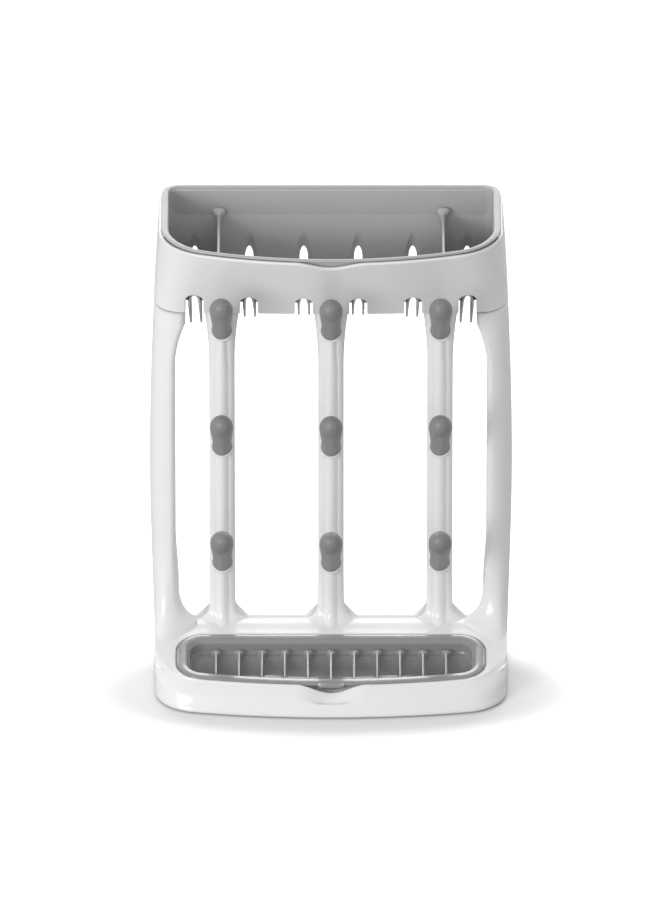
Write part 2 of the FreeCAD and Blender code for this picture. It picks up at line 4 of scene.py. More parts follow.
import bmesh
import bpy
import numpy as np
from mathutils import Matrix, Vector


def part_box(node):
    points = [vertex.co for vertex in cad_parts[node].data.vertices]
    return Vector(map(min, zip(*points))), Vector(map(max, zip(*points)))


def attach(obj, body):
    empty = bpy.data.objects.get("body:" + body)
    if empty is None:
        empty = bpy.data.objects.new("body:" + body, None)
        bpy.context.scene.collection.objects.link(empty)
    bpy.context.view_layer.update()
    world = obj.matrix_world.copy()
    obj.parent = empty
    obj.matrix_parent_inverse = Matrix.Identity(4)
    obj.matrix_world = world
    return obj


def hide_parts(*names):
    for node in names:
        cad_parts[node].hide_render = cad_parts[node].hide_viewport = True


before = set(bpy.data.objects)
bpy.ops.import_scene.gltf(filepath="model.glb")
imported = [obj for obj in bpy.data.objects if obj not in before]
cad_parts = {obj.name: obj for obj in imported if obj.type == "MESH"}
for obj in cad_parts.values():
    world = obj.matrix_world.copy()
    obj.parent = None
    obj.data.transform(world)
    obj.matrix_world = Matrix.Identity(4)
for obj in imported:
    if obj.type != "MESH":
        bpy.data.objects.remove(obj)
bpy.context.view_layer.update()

# Below, shapes are in millimetres, with y counted back from the base's front edge.
mm = 0.001
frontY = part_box("base_shell")[0].y


def nodeBox(node):
    # lowest and highest corner of a CAD node
    low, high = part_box(node)
    shift = np.array([0, frontY, 0])
    return (np.array(low) - shift) / mm, (np.array(high) - shift) / mm


baseHalf, baseDepth = nodeBox("base_shell")[1][:2]
housingHigh = nodeBox("top_housing")[1]
binHigh = nodeBox("small_parts_bin")[1]
trayHigh = nodeBox("drip_tray")[1]
topSeam = nodeBox("top_housing")[0][2]  # the uprights carry the housing here
postHalf = nodeBox("post_right")[1][0]  # the posts' bulge
columnDepth = 30.0
uprightFront = nodeBox("column_centre")[1][1] - columnDepth


# shapes

def ramp(x, a, b):
    # smooth step: 0 below a, 1 above b, 3t^2 - 2t^3 between
    t = np.clip((np.asarray(x, float) - a) / (b - a), 0.0, 1.0)
    return t * t * (3 - 2 * t)


def mix(a, b, t):
    return a + (b - a) * t


def upTo(a, b, count):
    # even steps from a that stop short of b
    return np.linspace(a, b, count, endpoint=False)


def xyz(x, y, z):
    # points from coordinates that stretch to one another's shape
    return np.stack(np.broadcast_arrays(x, y, z), -1)


def makeMesh(name, verts, faces):
    # merges doubles, so seams and poles close, and turns the faces outwards
    weld, sliver = 0.004 * mm, 0.002 * mm
    mesh = bpy.data.meshes.new(name)
    points = np.asarray(verts, float) * mm
    points[:, 1] += frontY
    mesh.from_pydata(points.tolist(), [], [list(f) for f in faces])
    bm = bmesh.new()
    bm.from_mesh(mesh)
    bmesh.ops.remove_doubles(bm, verts=bm.verts, dist=weld)
    bmesh.ops.dissolve_degenerate(bm, edges=bm.edges, dist=sliver)
    bmesh.ops.recalc_face_normals(bm, faces=bm.faces)
    bm.to_mesh(mesh)
    bm.free()
    mesh.update()
    return mesh


def gridFaces(rows, cols, closeRows, closeCols):
    # quads of a rows x cols grid of points, wrapping round where asked
    r = np.arange(rows if closeRows else rows - 1)[:, None]
    c = np.arange(cols if closeCols else cols - 1)[None, :]
    r2 = (r + 1) % rows
    c2 = (c + 1) % cols
    return np.stack([r * cols + c, r * cols + c2, r2 * cols + c2, r2 * cols + c], -1).reshape(-1, 4)


def skin(points, closeRows=False, capEnds=False):
    # points[row, column] as one surface; capEnds closes the first and last row with a fan to its middle
    rows, cols = points.shape[:2]
    verts = points.reshape(-1, 3)
    faces = gridFaces(rows, cols, closeRows, True).tolist()
    if capEnds:
        for row in (0, rows - 1):
            middle = len(verts)
            verts = np.vstack([verts, points[row].mean(0)])
            ring = row * cols + np.arange(cols)
            faces += xyz(ring, np.roll(ring, -1), np.full(cols, middle)).tolist()
    return verts, faces


def addObject(name, data):
    thing = bpy.data.objects.new(name, data)
    bpy.context.scene.collection.objects.link(thing)
    return thing


def joinSkins(skins):
    # several closed surfaces as one piece's mesh
    verts, faces, first = [], [], 0
    for v, f in skins:
        verts.append(v)
        faces += [[i + first for i in face] for face in f]
        first += len(v)
    return np.vstack(verts), faces


def shadeSmooth(mesh, sharpAngle):
    mesh.polygons.foreach_set("use_smooth", [True] * len(mesh.polygons))
    mesh.set_sharp_from_angle(angle=math.radians(sharpAngle))


def addPiece(name, skins, material, sharpAngle=40):
    mesh = makeMesh(name, *joinSkins(skins))
    shadeSmooth(mesh, sharpAngle)
    piece = addObject(name, mesh)
    piece.data.materials.append(material)
    return piece


def carve(piece, skins, sharpAngle=35):
    # takes closed surfaces out of a piece; the result becomes the piece's own mesh
    cutter = addPiece("cutter", skins, satinGreyPp)
    boolean = piece.modifiers.new("carve", "BOOLEAN")
    boolean.operation = "DIFFERENCE"
    boolean.solver = "MANIFOLD"
    boolean.object = cutter
    evaluated = piece.evaluated_get(bpy.context.evaluated_depsgraph_get())
    mesh = bpy.data.meshes.new_from_object(evaluated)
    piece.modifiers.clear()
    piece.data = mesh
    shadeSmooth(mesh, sharpAngle)
    bpy.data.objects.remove(cutter)


# the D plan that the rack is built on

def dPoint(s, half, front, back, bow, frontCorner, backCorner):
    # Right half of a D outline. s from 0 to 5 runs: bowed front from the middle, corner arc, straight side, back
    # corner arc, straight back to the middle. Each arc is centre + radius * (sin, -cos) of its angle.
    cornerX = half - frontCorner
    bowY = front + bow
    cornerY = bowY - np.sqrt((bow - frontCorner) ** 2 - cornerX ** 2)
    tilt = np.arctan2(cornerX, bowY - cornerY)
    sideEnd = back - backCorner
    u = [np.clip(s - k, 0, 1) for k in range(5)]
    turn = tilt + (pi / 2 - tilt) * u[1]
    swing = pi / 2 * u[3]
    part = [s <= 1, s <= 2, s <= 3, s <= 4]
    x = np.select(part, [bow * np.sin(tilt * u[0]), cornerX + frontCorner * np.sin(turn), half + 0 * s,
                         half - backCorner + backCorner * np.cos(swing)], (half - backCorner) * (1 - u[4]))
    y = np.select(part, [bowY - bow * np.cos(tilt * u[0]), cornerY - frontCorner * np.cos(turn),
                         mix(cornerY, sideEnd, u[2]), sideEnd + backCorner * np.sin(swing)], back + 0 * s)
    return x, y


def dSteps(arc, corner, side, backCorner, backLine):
    # places along the right half: how many steps each of its five parts gets
    counts = (arc, corner, side, backCorner, backLine)
    parts = [k + upTo(0, 1, n) for k, n in enumerate(counts)]
    return np.append(np.hstack(parts), 5.0)


def bothHalves(points):
    # a right half given as points[row, column], with its mirror image, as a closed ring
    left = points[:, -2:0:-1] * np.array([-1.0, 1.0, 1.0])
    return np.hstack([points, left])


def scoopDip(x, width, depth):
    # cosine dip: depth at the middle, nothing past half the width
    return depth * np.where(np.abs(x) < width / 2, np.cos(pi * x / width) ** 2, 0.0)


# materials

def linear(hexColour):
    # sRGB hex to linear RGBA
    parts = [int(hexColour[i:i + 2], 16) / 255 for i in (1, 3, 5)]
    return [c / 12.92 if c <= 0.04045 else ((c + 0.055) / 1.055) ** 2.4 for c in parts] + [1.0]


def addNode(tree, kind, settings=None, links=()):
    # one node with its settings; links are (input name or index, socket)
    node = tree.nodes.new("ShaderNode" + kind)
    for key, value in (settings or {}).items():
        if key in node.inputs:
            node.inputs[key].default_value = value
        else:
            setattr(node, key, value)
    for name, socket in links:
        tree.links.new(node.inputs[name], socket)
    return node


def newMaterial(name, settings):
    material = bpy.data.materials.new(name)
    material.use_nodes = True
    tree = material.node_tree
    shader = tree.nodes["Principled BSDF"]
    for key, value in settings.items():
        shader.inputs[key].default_value = value
    return material, tree, shader


# what the moulded finishes share; cloud is in mm
moulding = {
    "cloud": 60.0, "cloudDetail": 2.0, "grainDetail": 3.0, "waveDetail": 1.0, "spread": 0.12,
    "grainStrength": 0.6, "waveStrength": 0.5, "coatRoughness": 0.08, "ior": 1.5,
}


def mouldedPlastic(name, colours, roughness, grain, bump, coat=0.0, wave=None):
    # two close tones in broad clouds, and a fine skin grain in roughness and bump; grain is its size in mm,
    # bump its height, and wave the size and height of the moulding's slow ripple
    settings = {"IOR": moulding["ior"], "Coat Weight": coat, "Coat Roughness": moulding["coatRoughness"]}
    material, tree, shader = newMaterial(name, settings)
    place = addNode(tree, "TexCoord").outputs["Object"]
    cloud = addNode(tree, "TexNoise",
                    {"Scale": 1 / (moulding["cloud"] * mm), "Detail": moulding["cloudDetail"]}, [("Vector", place)])
    tone = addNode(tree, "Mix", {"data_type": "RGBA"}, [("Factor", cloud.outputs["Fac"])])
    for socket, colour in zip([s for s in tone.inputs if s.type == "RGBA"], colours):
        socket.default_value = linear(colour)
    tree.links.new(shader.inputs["Base Color"], [s for s in tone.outputs if s.type == "RGBA"][0])
    fine = addNode(tree, "TexNoise", {"Scale": 1 / (grain * mm), "Detail": moulding["grainDetail"]},
                   [("Vector", place)])
    rough = addNode(tree, "MapRange", {"To Min": roughness * (1 - moulding["spread"]),
                                                 "To Max": roughness * (1 + moulding["spread"])},
                    [("Value", fine.outputs["Fac"])])
    tree.links.new(shader.inputs["Roughness"], rough.outputs["Result"])
    last = addNode(tree, "Bump", {"Distance": bump * mm, "Strength": moulding["grainStrength"]},
                   [("Height", fine.outputs["Fac"])])
    if wave:
        slow = addNode(tree, "TexNoise", {"Scale": 1 / (wave[0] * mm), "Detail": moulding["waveDetail"]},
                       [("Vector", place)])
        last = addNode(tree, "Bump", {"Distance": wave[1] * mm, "Strength": moulding["waveStrength"]},
                       [("Height", slow.outputs["Fac"]), ("Normal", last.outputs["Normal"])])
    tree.links.new(shader.inputs["Normal"], last.outputs["Normal"])
    return material


# injection-moulded ABS from a polished tool: clean, slightly wavy gloss
glossWhiteAbs = mouldedPlastic("moulded_white_ABS", ("#F0F0F0", "#ECEDED"), 0.2, 1.2, 0.004, wave=(28, 0.03))
# moulded polypropylene from a fine spark-eroded tool: even satin, a little grain
satinGreyPp = mouldedPlastic("moulded_grey_PP", ("#B9B8BA", "#B4B3B5"), 0.38, 0.7, 0.012)
# the same polypropylene from a polished tool, with a wet-looking gloss; its colour is darker as painted shade, for
# the shade that the bin and housing above cast on the tray
trayShadedGreyPp = mouldedPlastic("moulded_tray_PP_painted_shade", ("#949396", "#8F8E91"), 0.25, 0.7, 0.012, coat=0.7)
# overmoulded TPE: soft-touch, broad dull highlight
softGreyTpe = mouldedPlastic("overmoulded_grey_TPE", ("#8B8A8B", "#858485"), 0.42, 0.6, 0.015)
# the feet's moulded TPE: paler and duller, for grip
footTpe = mouldedPlastic("moulded_foot_TPE", ("#A5A5A5", "#9C9C9C"), 0.6, 0.8, 0.03)

zinc = {"colour": "#B9BBBE", "marks": 0.5, "smoothest": 0.25, "roughest": 0.4}  # turned marks in mm


def zincSteel():
    # cold-headed screw, zinc plated: bright grey with fine turned marks
    settings = {"Metallic": 1.0, "Base Color": linear(zinc["colour"])}
    material, tree, shader = newMaterial("zinc_plated_steel", settings)
    place = addNode(tree, "TexCoord")
    marks = addNode(tree, "TexNoise", {"Scale": 1 / (zinc["marks"] * mm)},
                    [("Vector", place.outputs["Object"])])
    rough = addNode(tree, "MapRange", {"To Min": zinc["smoothest"], "To Max": zinc["roughest"]},
                    [("Value", marks.outputs["Fac"])])
    tree.links.new(shader.inputs["Roughness"], rough.outputs["Result"])
    return material


screwSteel = zincSteel()
print("materials made")


# camera, lights and floor, in metres

view = {
    "elevation": 28.0, "distance": 15.0, "lens": 792.0, "sensor": 36.0, "clipEnd": 60.0,
    "target": (-0.00075, frontY + 0.095, 0.181),
}


def aimCamera():
    camera = bpy.data.cameras.new("camera")
    camera.sensor_width = view["sensor"]
    camera.lens = view["lens"]
    camera.clip_end = view["clipEnd"]
    holder = addObject("camera", camera)
    rise = math.radians(view["elevation"])
    x, y, z = view["target"]
    far = view["distance"]
    holder.location = (x, y - far * math.cos(rise), z + far * math.sin(rise))
    holder.rotation_euler = (pi / 2 - rise, 0, 0)
    bpy.context.scene.camera = holder


lights = {  # a wide sheet of light behind and above, and a soft key from the upper left
    "back_softbox": {"place": (0.0, 2.1, 1.27), "aim": (0, 0, 0.15), "size": (3.0, 0.75), "power": 30},
    "key_softbox": {"place": (-1.7, -2.0, 0.95), "aim": (0, 0, 0.2), "size": (1.4, 1.0), "power": 34},
}
room = {"low": 0.612, "high": 0.68, "from": -0.5, "to": 0.4}  # strength below and above, and where it changes


def areaLight(name, place, aim, size, power):
    light = bpy.data.lights.new(name, "AREA")
    light.shape = "RECTANGLE"
    light.size, light.size_y = size
    light.energy = power
    holder = addObject(name, light)
    holder.location = place
    away = np.array(aim, float) - np.array(place, float)
    flat = math.hypot(away[0], away[1])
    holder.rotation_euler = (math.atan2(flat, -away[2]), 0, math.atan2(-away[0], away[1]))


def lightStage():
    # the softboxes and a pale room round them
    for name, light in lights.items():
        areaLight(name, **light)
    world = bpy.data.worlds.new("pale_room")
    bpy.context.scene.world = world
    world.use_nodes = True
    tree = world.node_tree
    background = tree.nodes["Background"]
    background.inputs["Color"].default_value = (1, 1, 1, 1)
    place = addNode(tree, "TexCoord")
    parts = addNode(tree, "SeparateXYZ", {}, [("Vector", place.outputs["Generated"])])
    height = addNode(tree, "MapRange", {"From Min": room["from"], "From Max": room["to"],
                                                  "To Min": room["low"], "To Max": room["high"]},
                     [("Value", parts.outputs["Z"])])
    tree.links.new(background.inputs["Strength"], height.outputs["Result"])
    bpy.context.scene.view_settings.view_transform = "Standard"


sweep = {
    "half": 6.0, "colour": "#F4F4F4", "bounce": "#B4B4B4", "roughness": 0.6, "glow": 0.5,
    "shadeWidth": 0.14, "shadeDepth": 0.055, "shadeBack": 0.045, "glowFrom": 1.1, "glowTo": 1.65,
}


def layFloor():
    # seamless white sweep with a painted glow: it lights itself up to white away from the rack
    h = sweep["half"]
    mesh = bpy.data.meshes.new("floor")
    mesh.from_pydata([(-h, -h, 0), (h, -h, 0), (h, h, 0), (-h, h, 0)], [], [(0, 1, 2, 3)])
    floor = addObject("floor", mesh)
    settings = {"Base Color": linear(sweep["colour"]), "Roughness": sweep["roughness"],
                "Emission Color": (1, 1, 1, 1)}
    material, tree, shader = newMaterial("white_sweep_painted_glow", settings)
    # to the eye it is white; the light it throws back up is that of a grey table
    seen = addNode(tree, "LightPath")
    bounce = addNode(tree, "BsdfDiffuse", {"Color": linear(sweep["bounce"])})
    both = addNode(tree, "MixShader", {}, [(0, seen.outputs["Is Camera Ray"]),
                                                     (1, bounce.outputs["BSDF"]), (2, shader.outputs["BSDF"])])
    # the glow stops short of the rack, so that its soft shadow stays: r = |(x / width, (y - middle) / depth)|
    place = addNode(tree, "TexCoord")
    spot = addNode(tree, "Mapping",
                   {"Location": (0, -(frontY + sweep["shadeBack"]) / sweep["shadeDepth"], 0),
                    "Scale": (1 / sweep["shadeWidth"], 1 / sweep["shadeDepth"], 1)},
                   [("Vector", place.outputs["Object"])])
    away = addNode(tree, "VectorMath", {"operation": "LENGTH"}, [(0, spot.outputs["Vector"])])
    glow = addNode(tree, "MapRange",
                   {"interpolation_type": "SMOOTHSTEP", "From Min": sweep["glowFrom"], "From Max": sweep["glowTo"],
                    "To Min": 0.0, "To Max": sweep["glow"]},
                   [("Value", away.outputs["Value"])])
    tree.links.new(shader.inputs["Emission Strength"], glow.outputs["Result"])
    tree.links.new(tree.nodes["Material Output"].inputs["Surface"], both.outputs["Shader"])
    floor.data.materials.append(material)


aimCamera()
lightStage()
layFloor()
print("camera and lights set")


# base

base = {
    "bow": 630.0, "frontCorner": 35.0, "backCorner": 18.0,
    "shoulderHeight": 20.6, "shoulderBack": 16.5, "deckRise": 9.4, "deckRun": 93.5,
    "panelFoot": 96.0, "panelHeight": 1.6, "ridge": 108.0, "backHeight": 9.0,
    "ridgeRound": 3.0, "ridgeLift": 0.35, "ridgeReach": 9.0,
    "frontTurn": (12.0, 62.0), "sideTurn": (42.0, 62.0), "sideBand": (14.0, 8.0), "lowShare": 0.55,
    "scoopWidth": 54.0, "scoopDepth": 6.5, "scoopFrom": (3.0, 9.0), "scoopTo": (26.0, 30.0), "scoopHigh": (8.0, 14.5),
    "wellGap": 0.8, "rimWidth": 7.0, "recessDepth": 2.2, "wellRoof": 4.0, "floor": 5.2, "wall": 2.6, "lift": 1.2,
}
baseRows = (  # from the foot up: inset in front, inset elsewhere, height in front, drop under the deck elsewhere
    (1.0, 1.0, base["lift"], None), (0.3, 0.3, base["lift"] + 0.4, None), (0.0, 0.0, base["lift"] + 1.6, None),
    (2.2, 0.0, 5.0, 18.0), (4.3, 0.0, 9.0, 12.0), (5.7, 0.1, 11.6, 7.5), (6.6, 0.3, 12.9, 4.6),
    (7.8, 0.8, 14.2, 2.9), (9.6, 1.6, 15.7, 1.5), (12.0, 2.6, 17.6, 0.7), (14.0, 3.6, 19.1, 0.25),
    (16.0, 5.0, 20.3, 0.05),
)
tray = {
    "half": trayHigh[0], "front": 18.1, "back": trayHigh[1] - 4.5,  # the rim ends short of its CAD solid
    "bow": 612.0, "corner": 21.0, "rim": 7.0, "wall": 2.6, "middle": 54.0,
    "under": 7.0, "floor": 9.0, "rimRise": 0.5,
}


def deckHeight(y):
    # straight slope from the shoulder back
    return base["shoulderHeight"] + base["deckRise"] / base["deckRun"] * (y - base["shoulderBack"])


def deckTop(y):
    # the slope with a steeper panel, and a straight fall to the back, meet in a rounded ridge:
    # (a + b - sqrt((a - b)^2 + round^2)) / 2
    panel = base["panelHeight"] * np.clip((y - base["panelFoot"]) / (base["ridge"] - base["panelFoot"]), 0, 1)
    level = deckHeight(y) + panel
    top = deckHeight(base["ridge"]) + base["panelHeight"]
    slope = (top - base["backHeight"]) / (baseDepth - base["ridge"])
    behind = top - slope * (y - base["ridge"])
    gap = level - behind
    smallest = (level + behind - np.sqrt(gap ** 2 + base["ridgeRound"] ** 2)) / 2
    return smallest + base["ridgeLift"] * ramp(-np.abs(gap), -base["ridgeReach"], 0)


def trayOutline(steps, grow):
    # ring parallel to the tray's rim, grown outwards
    corner = tray["corner"] + grow
    return dPoint(steps, tray["half"] + grow, tray["front"] - grow, tray["back"] + grow, tray["bow"] + grow,
                  corner, corner)


def makeBase():
    # Closed ring carried round the D: foot, leaning skirt, crease, shoulder, deck, recess and well. Each ring is
    # a blend between the outer outline and the tray's, with its height taken from the deck.
    steps = dSteps(arc=90, corner=24, side=44, backCorner=12, backLine=40)
    rows = []
    for front, elsewhere, height, drop in baseRows:
        x, y = dPoint(steps, baseHalf - elsewhere, front, baseDepth - elsewhere, base["bow"],
                      base["frontCorner"] - elsewhere / 2, base["backCorner"] - elsewhere / 2)
        low = height if drop is None else np.maximum(deckTop(y) - drop, height * base["lowShare"])
        z = mix(low, height, 1 - ramp(y, *base["frontTurn"]))
        band = ramp(x, baseHalf - base["sideBand"][0], baseHalf - base["sideBand"][1])
        x = x + elsewhere * ramp(y, *base["sideTurn"]) * band  # flush with the posts
        rows.append((x, y, z))
    edgeX, edgeY = x, y
    recessX, recessY = trayOutline(steps, base["wellGap"])
    for share in (0.12, 0.25, 0.4, 0.55, 0.7, 0.82, 0.91, 0.97):  # deck, in to the edge of the recess
        x, y = mix(edgeX, recessX, share), mix(edgeY, recessY, share)
        rows.append((x, y, deckTop(y)))
    # rounded lip of the recess, recess wall, ledge under the rim
    for grow, drop in ((0.9, 0.0), (0.25, 0.12), (0.0, 0.45), (0.0, base["recessDepth"]),
                       (-base["rimWidth"] - 0.3, base["recessDepth"] + 0.2)):
        x, y = trayOutline(steps, base["wellGap"] + grow)
        rows.append((x, y, deckTop(y) - drop))
    for z in (16.0, 8.0, base["floor"]):  # well wall
        x, y = trayOutline(steps, base["wellGap"] - base["rimWidth"] - 0.4)
        rows.append((x, y, np.minimum(z, deckTop(y) - base["wellRoof"])))
    wall = base["wall"]
    x, y = dPoint(steps, baseHalf - wall, wall + 2.0, baseDepth - wall, base["bow"], base["frontCorner"] - 2,
                  base["backCorner"] - 2)
    rows += [(x, y, base["floor"]), (x, y, base["lift"])]  # underside
    points = np.array([xyz(*row) for row in rows])
    # finger scoop: the shoulder and the recess's front lip dip, most at the middle
    reach = ramp(points[..., 1], *base["scoopFrom"]) * (1 - ramp(points[..., 1], *base["scoopTo"]))
    high = ramp(points[..., 2], *base["scoopHigh"])
    points[..., 2] -= scoopDip(points[..., 0], base["scoopWidth"], base["scoopDepth"]) * reach * high
    return addPiece("base_shell_moulding", [skin(bothHalves(points), closeRows=True)], glossWhiteAbs, 60)


# side posts

post = {
    "width": 19.3, "outerRound": 21.0, "innerRound": 5.0, "backRound": 7.0, "backSet": 0.5,
    "headInset": 24.0, "headFrom": 49.0, "headRun": 39.0, "headMost": 8.2,
    "bulgeFrom": 20.0, "footFrom": 22.0, "footSet": 0.3, "footSetTo": 36.0,  # the foot is a hair inside the base
    "footRound": 15.0, "footRun": 12.0, "footPlace": 106.0, "footLift": 2.0,
    "flare": 14.0, "flareRun": 7.5, "waist": 2.2, "waistRise": (12.0, 60.0),
    "toeInner": 27.0, "toeOuter": 3.0, "toeFront": 25.0, "toeRun": 8.5, "toeBend": 0.66,
    "lean": 5.0, "leanRise": (20.0, 75.0), "sill": 3.0, "sillRun": 16.0,
    "low": 6.0, "knee": 20.0, "shank": 62.0, "trayClear": 1.6,
}


def aheadOfRidge(y):
    return 1 - ramp(y, base["ridge"] - 3, base["ridge"] + 6)


def postInner(z):
    # inner edge, straight and opening inwards to the head by a long arc; and how far its foot spreads
    inner = postHalf - post["width"]
    share = np.clip((z - (topSeam - post["headFrom"])) / post["headRun"], 0, 1)
    headReach = (inner - (baseHalf - post["headInset"])) * share ** 2
    rise = z - deckHeight(post["footPlace"]) - post["footLift"]
    foot = post["flare"] * np.exp(-np.maximum(rise, 0) / post["flareRun"])
    waist = post["waist"] * (1 - ramp(rise, *post["waistRise"]))
    return inner - np.minimum(headReach, post["headMost"]) - waist, foot


def postFront(x, z, outer):
    # front face: level with the housing above, running forward as a tapered toe at the foot
    rise = np.maximum(z - deckHeight(post["toeFront"]), 0.0)
    fall = np.exp(-(rise / post["toeRun"]) ** post["toeBend"])
    toe = (uprightFront - post["toeFront"]) * fall + post["lean"] * (1 - ramp(rise, *post["leanRise"]))
    width = ramp(x, outer - post["toeInner"], outer - post["toeOuter"])
    plain = post["sill"] * np.exp(-rise / post["sillRun"])
    return uprightFront - plain * (1 - width) - toe * width


def makePost(sign):
    # Closed tube: at each height the loop is front face y = F(x, z), outer side, back, inner side.
    closer = upTo(0, 1, 80) ** 1.8  # stations crowd at the knee
    stations = np.hstack([upTo(post["low"], post["knee"], 4),
                               post["knee"] + (post["shank"] - post["knee"]) * closer,
                               np.linspace(post["shank"], topSeam - 0.4, 70)])
    z = stations[:, None]
    bulge = np.sin(pi * np.clip((z - post["bulgeFrom"]) / (topSeam - post["bulgeFrom"]), 0, 1))
    outer = mix(baseHalf, postHalf, bulge) - post["footSet"] * (1 - ramp(z, post["footFrom"], post["footSetTo"]))
    inner, foot = postInner(z)
    u = np.linspace(0, 1, 72)[None, :]
    x = mix(inner, outer, 1 - (1 - u) ** 1.35)  # points crowd at the outer corner
    r1 = post["outerRound"] + post["footRound"] * np.exp(-np.maximum(z - post["footFrom"], 0) / post["footRun"])
    r2 = post["innerRound"]
    out = np.clip(x - (outer - r1), 0, r1)
    into = np.clip((inner + r2) - x, 0, r2)
    corners = (r1 - np.sqrt(np.maximum(r1 ** 2 - out ** 2, 0))) + (r2 - np.sqrt(np.maximum(r2 ** 2 - into ** 2, 0)))
    front = xyz(x, postFront(x, z, outer) + corners, z)
    r3 = post["backRound"]
    a = np.linspace(0, pi / 2, 9)[None, :]
    backY = baseDepth - post["backSet"] + 0 * z
    backOut = xyz(outer - r3 + r3 * np.cos(a), backY - r3 + r3 * np.sin(a), z)
    backIn = xyz(inner + r3 - r3 * np.sin(a), backY - r3 + r3 * np.cos(a), z)
    run = np.linspace(0, 1, 26)[None, 1:-1] ** 0.7
    side = xyz(inner, mix(backY - r3, front[:, :1, 1], run), z)
    loop = np.hstack([front, backOut, backIn, side])
    near = np.clip((outer - loop[..., 0]) / (outer - inner), 0, 1) ** 2
    loop[..., 0] -= foot * aheadOfRidge(loop[..., 1]) * near
    # the foot keeps clear of the tray's recess: x >= half - corner + sqrt(corner^2 - dy^2)
    corner = tray["corner"]
    past = np.clip(loop[..., 1] - (tray["back"] - corner), 0, corner)
    clear = tray["half"] + post["trayClear"] - corner + np.sqrt(corner ** 2 - past ** 2)
    beside = loop[..., 1] < tray["back"] + 1.5
    loop[..., 0] = np.where(beside, np.maximum(loop[..., 0], clear), loop[..., 0])
    loop[..., 0] *= sign
    return skin(loop, capEnds=True)


# columns and pegs

column = {
    "width": 19.3, "head": 26.8, "headRun": 44.0, "headBend": 1.9, "round": 5.0, "backRound": 5.0, "crown": 2.6,
    "low": 10.0, "footPlace": 100.0, "footHeight": 26.0, "spread": (12.0, 3.6), "spreadRun": (3.0, 11.0),
    "kick": 9.0, "backKick": 5.0, "kickRun": 4.2, "headRound": 4.0, "footRound": 3.0, "footRoundRun": 8.0,
}
peg = {
    "rise": 40.0, "length": 84.0, "neck": 6.8, "bulb": 8.8, "root": 7.4, "rootRun": 9.0, "ease": 5.0,
    "swellFrom": 4.0, "swellPast": 6.0, "tail": 16.0, "collar": 0.9, "collarHeight": 1.5,
    "rows": ("low", "mid", "high"), "sides": ("left", "centre", "right"),
}
frontSag = 5000.0  # the uprights' fronts stand back by middle^2 / frontSag


def columnPlace(side):
    low, high = nodeBox("column_" + side)
    return (low[0] + high[0]) / 2


def columnFront(middle):
    return uprightFront + middle ** 2 / frontSag


def pegRoot(side, row):
    # where a peg's axis meets the column's face, from the sleeve's box: its top is the tip's
    low, high = nodeBox("peg_sleeve_" + side + "_" + row)
    tipTop = (peg["length"] - peg["bulb"]) * math.sin(math.radians(peg["rise"])) + peg["bulb"]
    return (low[0] + high[0]) / 2, high[2] - tipTop


def makeColumn(side):
    # Closed tube of rounded-rectangle loops, flared at head and foot: reach * exp(-rise / run).
    middle = columnPlace(side)
    ground = deckHeight(column["footPlace"]) - 1.0
    footTop = ground + column["footHeight"]
    stations = np.hstack([upTo(column["low"], ground, 6),
                               upTo(ground, footTop, 40),
                               np.linspace(footTop, topSeam - 0.3, 70)])
    z = stations[:, None]
    rise = np.maximum(z - ground, 0.0)
    headShare = np.clip((z - (topSeam - column["headRun"])) / column["headRun"], 0, 1)
    half = mix(column["width"], column["head"], headShare ** column["headBend"]) / 2
    kick = np.exp(-rise / column["kickRun"])
    front = columnFront(middle) - column["kick"] * kick
    back = uprightFront + columnDepth + column["backKick"] * kick
    corner = column["round"] + column["headRound"] * headShare \
        + column["footRound"] * np.exp(-rise / column["footRoundRun"])
    rear = column["backRound"]
    angle = np.linspace(0, pi / 2, 10)[None, :]
    v = np.linspace(-1, 1, 25)[None, 1:-1]
    # loop: left front corner, crowned front, right front corner, right back, left back
    parts = [
        (-(half - corner) - corner * np.cos(angle), front + corner - corner * np.sin(angle)),
        ((half - corner) * v, front - column["crown"] * (1 - v ** 2)),
        ((half - corner) + corner * np.sin(angle), front + corner - corner * np.cos(angle)),
        ((half - rear) + rear * np.cos(angle), back - rear + rear * np.sin(angle)),
        (-(half - rear) - rear * np.sin(angle), back - rear + rear * np.cos(angle)),
    ]
    x = np.hstack([p[0] + 0 * z for p in parts]) + middle
    y = np.hstack([p[1] + 0 * z for p in parts])
    foot = sum(reach * np.exp(-rise / run) for reach, run in zip(column["spread"], column["spreadRun"]))
    x = x + foot * aheadOfRidge(y) * np.clip((x - middle) / half, -1, 1)
    return skin(xyz(x, y, z), capEnds=True)


def turned(profile, middle, rootZ, count=48):
    # Profile (radius, length) turned about an axis that rises forward from the column's face.
    # point = root + length * axis + radius * (cos a * across + sin a * up)
    rise = math.radians(peg["rise"])
    axis = np.array([0.0, -math.cos(rise), math.sin(rise)])
    across = np.array([1.0, 0.0, 0.0])
    upward = np.array([0.0, math.sin(rise), math.cos(rise)])
    a = np.arange(count) / count * 2 * pi
    radius, length = profile[:, :1], profile[:, 1:2]
    root = np.array([middle, columnFront(middle), rootZ])
    ring = np.cos(a)[None, :, None] * across + np.sin(a)[None, :, None] * upward
    return root + length[..., None] * axis + radius[..., None] * ring


